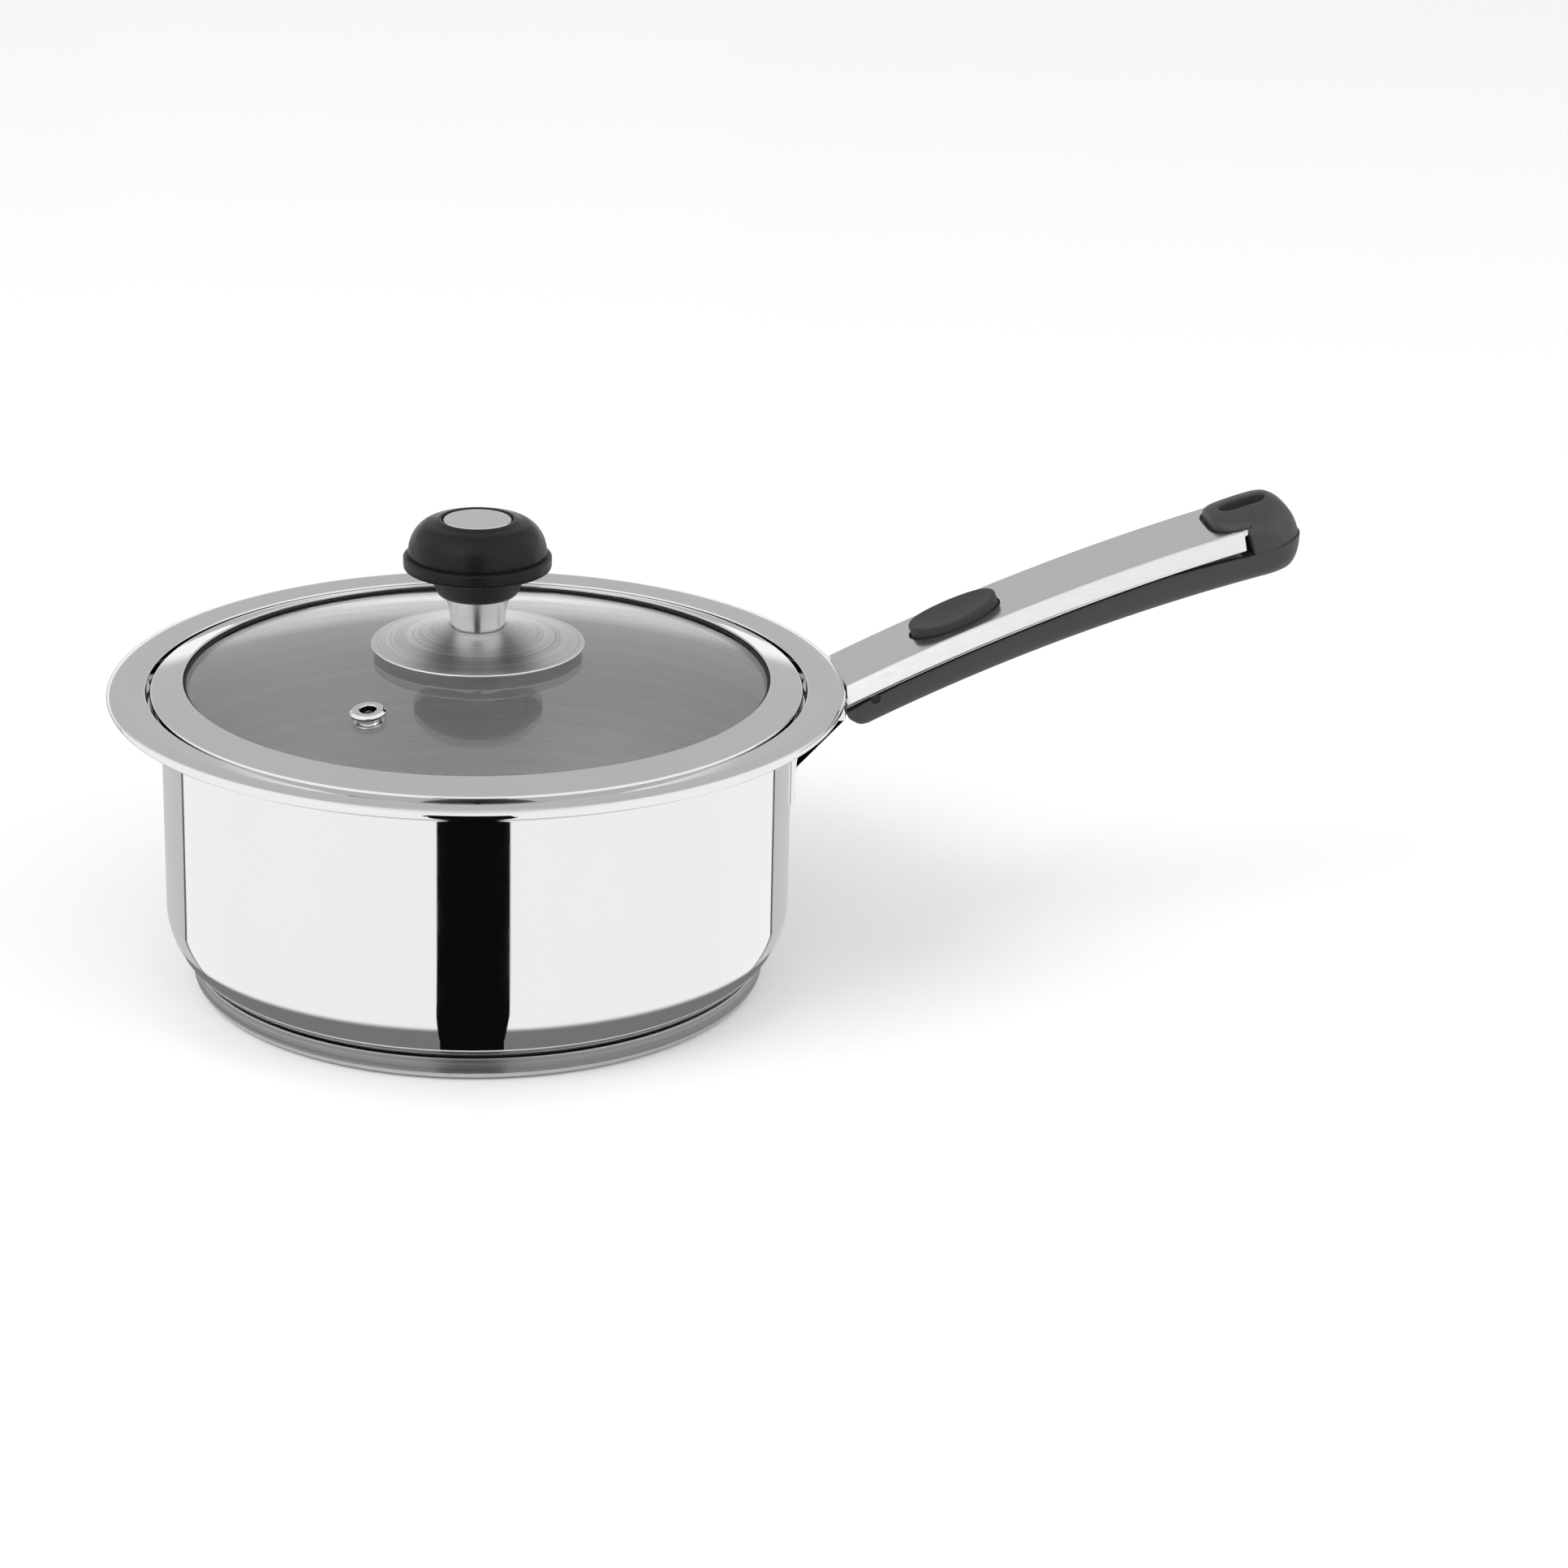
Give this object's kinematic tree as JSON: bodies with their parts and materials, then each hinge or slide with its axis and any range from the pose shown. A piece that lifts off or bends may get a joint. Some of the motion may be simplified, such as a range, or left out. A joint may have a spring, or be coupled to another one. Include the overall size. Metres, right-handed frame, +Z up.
{
  "type": "saucepan with glass lid",
  "caption": "Round stainless saucepan with a wide rolled rim, a bevelled steel and black handle with a hanging slot, and a domed glass lid with a knob and steam vent.",
  "frame": {"origin": "centre of the flat underside of the base capsule, on the pot's axis", "axes": "+Z up along the pot's axis, +X along the handle from the pot towards its tip"},
  "size_m": [0.307, 0.187, 0.1213],
  "materials": {
    "polished_steel": "mirror-polished stainless steel",
    "satin_steel": "circular-brushed stainless steel",
    "plain_steel": "bright zinc-plated steel",
    "disc_aluminium": "plain rolled aluminium",
    "black_phenolic": "satin moulded phenolic resin",
    "soft_black": "matt silicone rubber",
    "lid_glass": "clear tempered glass",
    "insert_brass": "turned brass"
  },
  "bodies": {
    "pot": {"pot_body": "polished_steel", "heat_disc": "disc_aluminium", "base_capsule": "satin_steel", "handle_bracket": "polished_steel", "handle_tang": "plain_steel", "tang_pin": "plain_steel", "handle_grip": "black_phenolic", "handle_shell": "polished_steel", "handle_screw": "plain_steel", "thumb_pad": "soft_black", "handle_end_cap": "black_phenolic", "end_cap_screw": "plain_steel"},
    "lid_fixing": {"lid_screw": "plain_steel"},
    "lid": {"lid_glass": "lid_glass", "lid_band": "polished_steel", "lid_seal": "soft_black", "vent_eyelet": "polished_steel", "vent_washer": "soft_black", "knob_plate": "satin_steel", "plate_gasket": "soft_black", "knob_stem": "polished_steel", "knob": "black_phenolic", "knob_inlay": "satin_steel", "knob_insert": "insert_brass", "lower_gasket": "soft_black", "screw_washer": "plain_steel"}
  },
  "joints": [
    {"name": "lid_lift", "type": "slide", "parent": "pot", "child": "lid_fixing", "axis": [0, 0, 1], "range_m": [0, 0.15]},
    {"name": "lid_turn", "type": "hinge", "parent": "lid_fixing", "child": "lid", "pos_m": [0, 0, 0.08], "axis": [0, 0, 1], "continuous": true}
  ]
}
